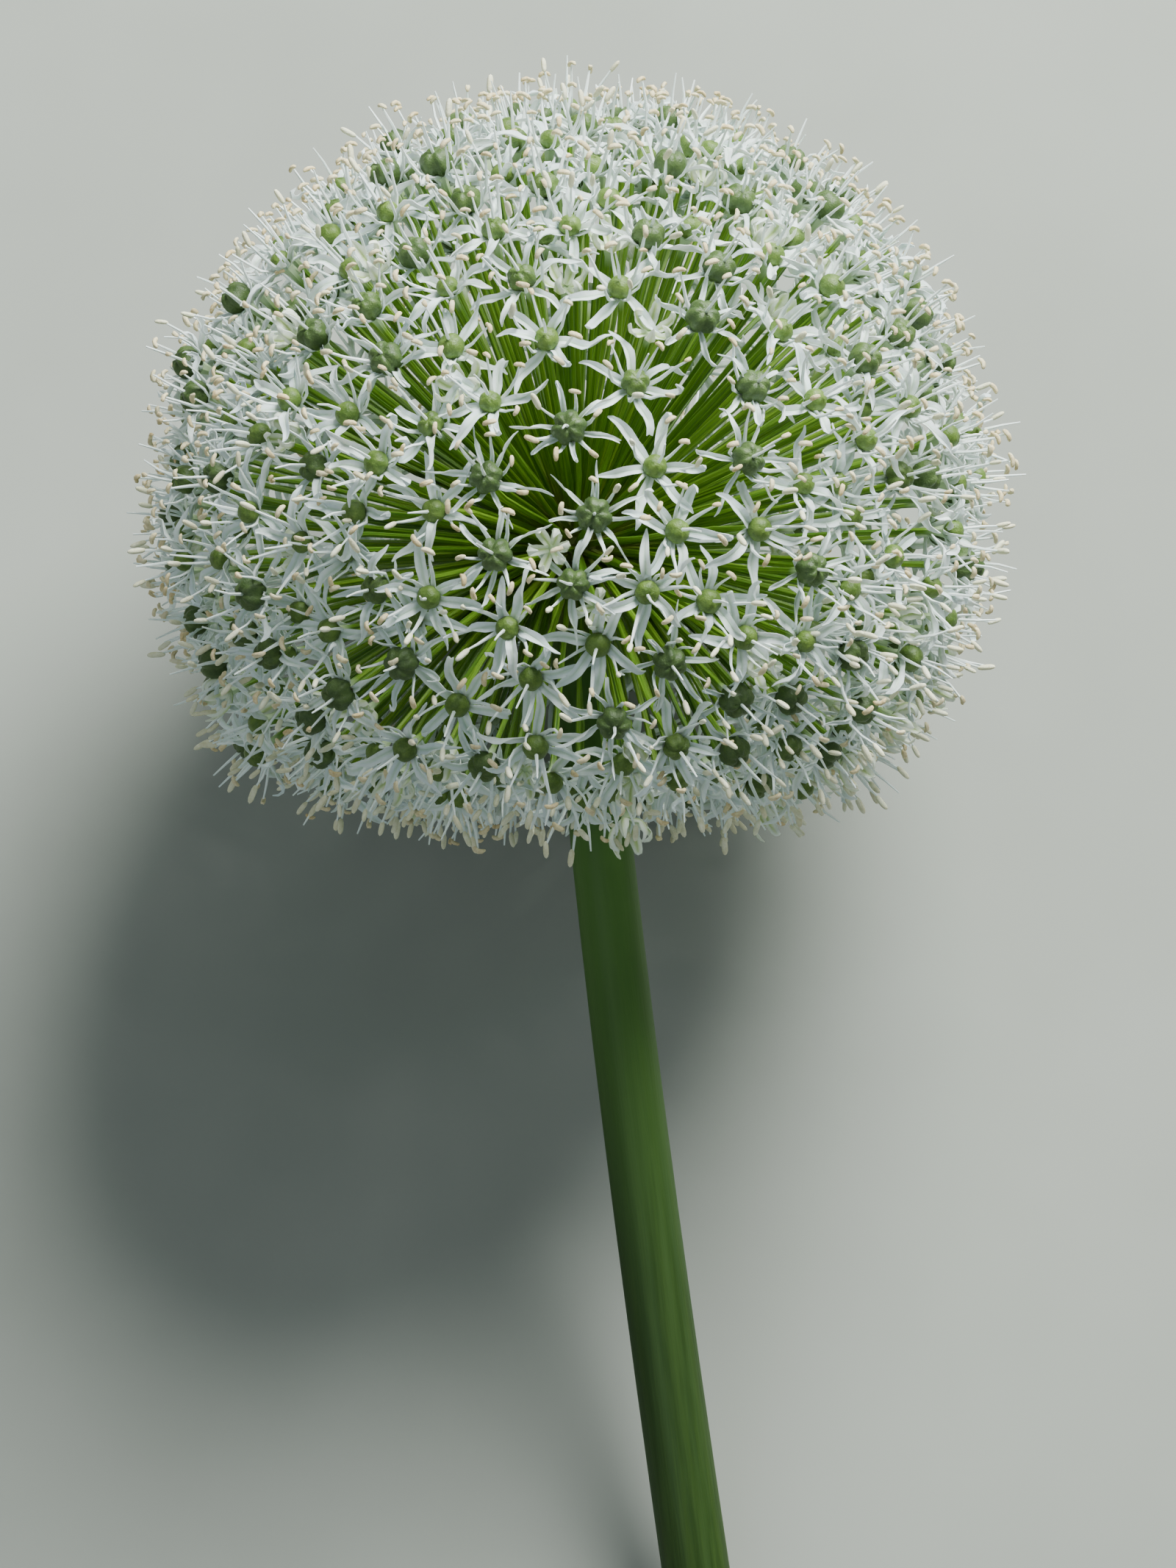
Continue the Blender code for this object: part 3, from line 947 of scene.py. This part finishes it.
def add_stamens(bunch, anthers, floret, spin):
    below = smooth_step(math.radians(50), math.radians(110), polar_of(floret.outward))
    for index in range(6):
        turn = spin + FULL_TURN * (index + 0.5) / 6 + degrees(-10, 10)
        upright = dice.random() > 0.25 + 0.4 * below
        pattern, end, way = dice.choice(upright_filaments if upright else spreading_filaments)
        size = dice.uniform(0.86, 1.2)
        out = Matrix.Translation((FILAMENT_OUT, 0, FILAMENT_UP))
        place = axes_at(floret.base, floret.axis, turn) @ out @ Matrix.Scale(size, 4)
        bunch.add(pattern, place, dice.random())
        onward = (place.to_3x3() @ way).normalized()
        add_anther(anthers, place @ end, onward, dice.random() < floret.opened)


def add_anther(bunch, top, out, is_open):
    """A closed case carries on in the filament's line, and an open one sits across its end."""
    if is_open:
        line = out.orthogonal().normalized()
        line.rotate(Matrix.Rotation(dice.uniform(0, FULL_TURN), 3, out))
        line = (line + out * dice.uniform(-0.35, 0.5)).normalized()
        pattern, seat, tone = dice.choice(open_anthers), OPEN_SEAT, dice.uniform(0.55, 1.0)
    else:
        line = tilted(out, math.radians(35))
        pattern, seat, tone = dice.choice(closed_anthers), CLOSED_SEAT, dice.uniform(0.0, 0.3)
    size = Matrix.Scale(dice.uniform(0.76, 1.08), 4)
    arch = (out - line * out.dot(line)).normalized() if is_open else line.orthogonal().normalized()
    turn = Matrix((line, arch.cross(line), arch)).transposed().to_4x4()
    middle = top + (out if is_open else line) * seat
    bunch.add(pattern, Matrix.Translation(middle) @ turn @ size, tone)


# %% The ovary and the style of one floret
def add_ovary(bunch, threads, floret, spin):
    ripe = smooth_step(0.25, 0.75, floret.age)
    size = dice.uniform(0.68, 0.78) + 0.35 * ripe
    pattern = young_ovary if ripe < 0.35 else dice.choice(ripe_ovaries)
    place = axes_at(floret.base, floret.axis, spin)
    bunch.add(pattern, place @ Matrix.Scale(size, 4), 0.15 + 0.8 * ripe)
    threads.add(dice.choice(styles), axes_at(floret.base, floret.axis, dice.uniform(0, FULL_TURN)), 0.5)


# %% [markdown]
# ## Late florets and buds
# An umbel doesn't open all at once. Late florets and buds fill gaps, so each stands in the middle of
# three neighbouring florets, lower than they do, and clear of all others. The late florets are young:
# broad tepals and a small ovary. Most buds are half open, and some are still shut tight and smaller.

# %% Find the gaps between the florets
GAP = math.radians(4.8)  # the least angle, seen from the heart, between a gap and any floret
GAP_SPACING = math.radians(7)
directions = np.array([floret.outward[:] for floret in florets])


def least_angle(way, others):
    """The angle from a direction to the nearest of some others."""
    return math.acos(min(1.0, max(float(np.dot(way, other)) for other in others)))


gaps = []
for index in dice.sample(range(len(directions)), len(directions)):
    near = np.argsort(-(directions @ directions[index]))[1:6]
    for first, second in zip(near, near[1:]):
        middle = directions[[index, first, second]].sum(axis=0)
        middle /= np.linalg.norm(middle)
        taken = [way for _, way in gaps]
        clear = least_angle(middle, directions) > GAP
        if clear and least_angle(middle, taken or [-middle]) > GAP_SPACING:
            gaps.append((florets[index], Vector(middle)))
            break
print(len(gaps), "gaps")

# %% Plan the late florets and the buds
LATE_COUNT = 44
BUD_COUNT = 80
BUD_REACH = (0.80, 0.89)  # of the way from the heart to the neighbouring style's tip
SHUT_SHARE = 0.25
BUD_OUT, BUD_UP = 0.5 * MM, (0.1 * MM, 0.25 * MM)
for floret, middle in gaps[:LATE_COUNT]:
    late = Floret(floret.cluster, heart, heart + middle * floret.reach * 0.95)
    late.age *= 0.3
    florets.append(late)
buds = []
for floret, middle in gaps[LATE_COUNT : LATE_COUNT + BUD_COUNT]:
    way = parted(middle) @ middle
    base = heart + way * floret.reach * dice.uniform(*BUD_REACH)
    buds.append((floret.cluster, way, base, dice.random() < SHUT_SHARE))
print(LATE_COUNT, "late florets and", len(buds), "buds")


def add_bud(bunch, way, base, shut):
    size = 0.66 if shut else dice.uniform(0.82, 1.0)
    spin = dice.uniform(0, FULL_TURN)
    for index in range(6):
        out = Matrix.Translation((BUD_OUT, 0, BUD_UP[index % 2]))
        lift = Matrix.Rotation(math.radians(-14 if shut else dice.uniform(-4, 12)), 4, "Y")
        turn = axes_at(base, way, spin + FULL_TURN * index / 6)
        shape = Matrix.Diagonal((size, size * (1.5 if shut else 1.0), size, 1.0))
        pattern = bud_tepals[0] if shut else dice.choice(bud_tepals)
        bunch.add(pattern, turn @ out @ lift @ shape, dice.random())


# %% Make the pieces of every cluster
STALK_INTO_FLORET = 0.2 * MM
for name in cluster_names:
    tepals = Bunch(f"{name}_tepals")
    stamens = Bunch(f"{name}_stamens")
    anthers = Bunch(f"{name}_anthers")
    ovaries = Bunch(f"{name}_ovaries")
    stalks = Bunch(f"{name}_stalks")
    for floret in (one for one in florets if one.cluster == name):
        spin = dice.uniform(0, FULL_TURN)
        add_tepals(tepals, floret, spin)
        add_stamens(stamens, anthers, floret, spin)
        add_ovary(ovaries, stamens, floret, spin)
        start, way = stalk_foot(floret.outward)
        end = floret.base + floret.axis * STALK_INTO_FLORET
        lay_stalk(stalks.add(stalk_rod, tone=dice.random()), start, way, end, floret.axis)
    own_buds = [bud for bud in buds if bud[0] == name]
    if own_buds:
        lanterns = Bunch(f"{name}_buds")
        for _, way, base, shut in own_buds:
            add_bud(lanterns, way, base, shut)
            start, start_way = stalk_foot(way)
            lay_stalk(stalks.add(stalk_rod, tone=dice.random()), start, start_way, base, way)
        lanterns.piece("bud", [bud_finish])
    tepals.piece("tepal", [tepal_finish])
    stamens.piece("stamen", [stamen_finish])
    anthers.piece("anther", [anther_finish])
    ovaries.piece("ovary", [ovary_finish])
    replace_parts(stalks.piece("stalk", [stalk_finish]), name)
shown = [piece for piece in bpy.context.scene.objects if piece.type == "MESH" and not piece.hide_render]
print(len(shown), "pieces,", sum(len(piece.data.polygons) for piece in shown), "faces")

# %% [markdown]
# ## The stem and the receptacle
# The stem is one smooth green pipe, round, a little thicker towards its foot. The solid already has
# its line and its thickness as a row of rings, so the skin is laid on those, with more sides and more
# rings: one circle is extruded from the top of the receptacle to the cut. There the knife left a flat
# face, and its soft middle has sunk a little inside the firm rim, which two insets do.

# %% Read the stem's rings
RING_GAP = 3 * MM  # two corners further apart than this, along the stem, are on different rings
stem_depths = -((stem_corners - np.array(heart)) @ np.array(crown))
below_neck = np.sort(np.unique(stem_depths[stem_depths > receptacle_radius * 0.7].round(5)))
breaks = np.flatnonzero(np.diff(below_neck) > RING_GAP)
between = [(below_neck[i] + below_neck[i + 1]) / 2 for i in breaks]
edges = [below_neck[0], *between, below_neck[-1] + MM]
rings = []
for low, high in zip(edges, edges[1:]):
    ring = stem_corners[(stem_depths >= low - 1e-5) & (stem_depths < high)]
    middle = (ring.min(axis=0) + ring.max(axis=0)) / 2
    radius = np.linalg.norm(ring - middle, axis=1).max()
    rings.append((-(middle - np.array(heart)) @ np.array(crown), middle, radius))
print(len(rings), "rings, radius", [round(ring[2] / MM, 2) for ring in (rings[0], rings[-1])], "mm")


def stem_at(depth):
    """The stem's middle and radius at a depth below the heart."""
    known = [ring[0] for ring in rings]
    middle = [np.interp(depth, known, [ring[1][axis] for ring in rings]) for axis in range(3)]
    return Vector(middle), float(np.interp(depth, known, [ring[2] for ring in rings]))


# %% The sections of the stem's skin
STEM_SIDES = 40
DOME_STEPS = 16
STEM_STEPS = 60
neck_depth = rings[0][0]
neck_radius = rings[0][2]
neck_polar = math.pi - math.asin(neck_radius / receptacle_radius)
FIRST_POLAR = math.radians(6)
sections = []
for step in range(DOME_STEPS):
    polar = FIRST_POLAR + (neck_polar - FIRST_POLAR) * step / DOME_STEPS
    middle = heart + crown * receptacle_radius * math.cos(polar)
    sections.append((middle, receptacle_radius * math.sin(polar)))
for step in range(STEM_STEPS + 1):
    sections.append(stem_at(neck_depth + (rings[-1][0] - neck_depth) * step / STEM_STEPS))
print(len(sections), "sections")

# %% Loft the stem's skin
bm = bmesh.new()
across_along = bm.loops.layers.uv.new("across_along")
bmesh.ops.create_circle(bm, cap_ends=True, segments=STEM_SIDES, radius=1.0)
ring_face = bm.faces[:][0]
previous = None
for index, (middle, radius) in enumerate(sections):
    following = sections[min(index + 1, len(sections) - 1)][0]
    leading = sections[max(index - 1, 0)][0]
    line = (following - leading).normalized()
    place = Matrix.Translation(middle) @ line.to_track_quat("Z", "X").to_matrix().to_4x4()
    place = place @ Matrix.Diagonal((radius, radius, 1.0, 1.0))
    if previous is None:
        verts = ring_face.verts[:]
        bmesh.ops.transform(bm, matrix=place, verts=verts)
    else:
        geom = [ring_face, *ring_face.edges, *ring_face.verts]
        made = bmesh.ops.extrude_face_region(bm, geom=geom)["geom"]
        verts = [item for item in made if isinstance(item, bmesh.types.BMVert)]
        ring_face = next(item for item in made if isinstance(item, bmesh.types.BMFace))
        bmesh.ops.transform(bm, matrix=place @ previous.inverted(), verts=verts)
    previous = place
print("stem skin:", len(bm.faces), "faces, open edges:", sum(not edge.is_manifold for edge in bm.edges))
cut = min(bm.faces, key=lambda face: (face.calc_center_median() - heart).dot(crown))
RIM_WIDTH, RIM_DEPTH = 0.7 * MM, 0.12 * MM
PITH_FROM_RIM, PITH_DEPTH = 2.2 * MM, 0.25 * MM
rim = bmesh.ops.inset_region(bm, faces=[cut], thickness=RIM_WIDTH, depth=-RIM_DEPTH)["faces"]
pith = bmesh.ops.inset_region(bm, faces=[cut], thickness=PITH_FROM_RIM, depth=-PITH_DEPTH)["faces"]
for face in [cut, *rim, *pith]:
    face.material_index = 1
longest = max((vert.co - heart).length for vert in bm.verts)
for face in bm.faces:
    for loop in face.loops:
        local = plant_turn.transposed() @ (loop.vert.co - heart)
        loop[across_along].uv = (math.atan2(local.y, local.x) / FULL_TURN + 0.5, -local.z / longest)
stem_mesh = finished(bm, "stem_skin", sharp=math.radians(40))

# %% [markdown]
# ### Stem skin and cut face
# The skin is deep green under a thin bluish wax, the bloom, which lies in long patches because it rubs
# off along the stem. A mapping node turns both patterns into the stem's line and stretches them along
# it. Towards the receptacle the skin turns olive. On the cut face the tissue is pale and wet, and a
# fine grain stands for its tiny vessels.

# %% Stem finish
stem_finish, tree, shader, sources = new_material("stem_skin", 0.42, subsurface=0.04, depth=0.8 * MM,
                                                  specular=0.25)
stem_line = (cut_middle - heart).to_track_quat("Z", "X").to_euler()
turned = add_node(tree, "Mapping", {"Vector": sources["place"], "Rotation": stem_line,
                                    "Scale": (1.0, 1.0, 22.0)}, vector_type="TEXTURE")
green = mottled(tree, turned.outputs[0], (0.015, 0.040, 0.003), (0.030, 0.066, 0.009), 640.0)
wax = add_node(tree, "TexNoise", {"Vector": turned.outputs[0], "Scale": 230.0, "Detail": 3.0})
waxed = blend_colours(tree, times(tree, ramp(tree, wax.outputs[0], 0.42, 0.66), 0.35),
                      green["Color"], colour(0.042, 0.088, 0.030))
depth_share = add_node(tree, "SeparateXYZ", {0: sources["map"]}).outputs["Y"]
# Painted light: the upper part of the stem, next to the head, is drawn lighter, against the shadow that
# the head casts on it.
painted_light_near_head = one_minus(tree, ramp(tree, depth_share, 0.2, 0.75))
lighter = blend_colours(tree, times(tree, painted_light_near_head, 0.8), waxed, colour(0.084, 0.190, 0.036))
near_head = one_minus(tree, ramp(tree, depth_share, 0.03, 0.12))
olive = blend_colours(tree, times(tree, near_head, 0.8), lighter, colour(0.24, 0.27, 0.06))
tree.links.new(olive, shader.inputs["Base Color"])
tree.links.new(maths(tree, "ADD", times(tree, wax.outputs[0], 0.3), 0.38),
               shader.inputs["Roughness"])
raise_surface(tree, shader, green["Value"], 0.05 * MM, 0.5)

# %% Cut face finish
cut_finish, tree, shader, sources = new_material("cut_face", 0.3, subsurface=0.2, depth=1.0 * MM)
tissue = mottled(tree, sources["place"], (0.42, 0.55, 0.24), (0.68, 0.77, 0.48), 900.0)
tree.links.new(tissue["Color"], shader.inputs["Base Color"])
fibres = use_group(tree, grain, {"Vector": sources["place"], "Scale": 1800.0})
raise_surface(tree, shader, fibres["Height"], 0.15 * MM, 0.8)
stem_piece = make_piece("stem_skin", stem_mesh, [stem_finish, cut_finish])
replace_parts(stem_piece, "stem")

# %% [markdown]
# ## Floor, light and camera
# The plant lies on a plain pale floor. The main light is large and soft and comes from the crown's
# side, so the crown is the brightest part and the florets near the stem fall into a cooler shade. The
# camera looks square to the plant's axis, from above, with the crown at the top of the frame, and its
# lens is long, because a flower is looked at from some way off.

# %% Floor
bm = bmesh.new()
bmesh.ops.create_grid(bm, x_segments=1, y_segments=1, size=3.0)
floor_mesh = bpy.data.meshes.new("floor")
bm.to_mesh(floor_mesh)
bm.free()
floor_finish, tree, shader, sources = new_material("pale_floor", 0.9, specular=0.2)
plaster = mottled(tree, sources["place"], (0.29, 0.305, 0.275), (0.32, 0.335, 0.305), 6.0)
tree.links.new(plaster["Color"], shader.inputs["Base Color"])
floor_mesh.materials.append(floor_finish)
floor = bpy.data.objects.new("floor", floor_mesh)
bpy.context.scene.collection.objects.link(floor)

# %% Lights
world = bpy.data.worlds.new("soft_room")
world.use_nodes = True
world.node_tree.nodes["Background"].inputs["Color"].default_value = colour(0.79, 0.93, 0.95)
world.node_tree.nodes["Background"].inputs["Strength"].default_value = 0.25
bpy.context.scene.world = world


def soft_light(name, direction, distance, size, watts, tint):
    lamp = bpy.data.lights.new(name, "AREA")
    lamp.shape = "DISK"
    lamp.size = size
    lamp.energy = watts
    lamp.color = tint
    light = bpy.data.objects.new(name, lamp)
    light.location = heart + direction.normalized() * distance
    light.rotation_euler = direction.to_track_quat("Z", "Y").to_euler()
    bpy.context.scene.collection.objects.link(light)


soft_light("crown_light", crown + skyward * 0.48 + sideways * 0.4,
           distance=1.1, size=0.75, watts=46.0, tint=(0.96, 1.0, 0.96))
soft_light("camera_fill", skyward - sideways * 0.5 - crown * 0.2,
           distance=1.3, size=0.9, watts=2.4, tint=(0.84, 0.95, 1.0))

# %% Camera
CAMERA_DISTANCE = 1.0
SEEN_HEIGHT = 260.8 * MM  # at the heart's distance
HEART_FROM_LEFT = 0.490  # of the frame's width
HEART_FROM_TOP = 0.350  # of the frame's height
FRAME_WIDTH_TO_HEIGHT = 1600 / 2133
SENSOR_HEIGHT = 36.0
camera_data = bpy.data.cameras.new("camera")
camera_data.sensor_fit = "VERTICAL"
camera_data.sensor_height = SENSOR_HEIGHT
camera_data.lens = SENSOR_HEIGHT * CAMERA_DISTANCE / SEEN_HEIGHT
camera = bpy.data.objects.new("camera", camera_data)
middle_of_view = (
    heart
    + sideways * (0.5 - HEART_FROM_LEFT) * SEEN_HEIGHT * FRAME_WIDTH_TO_HEIGHT
    - crown * (0.5 - HEART_FROM_TOP) * SEEN_HEIGHT
)
camera.matrix_world = Matrix.Translation(middle_of_view + skyward * CAMERA_DISTANCE) @ Matrix(
    (sideways, crown, skyward)
).transposed().to_4x4()
bpy.context.scene.collection.objects.link(camera)
bpy.context.scene.camera = camera

print("camera lens", round(camera_data.lens, 1), "mm")
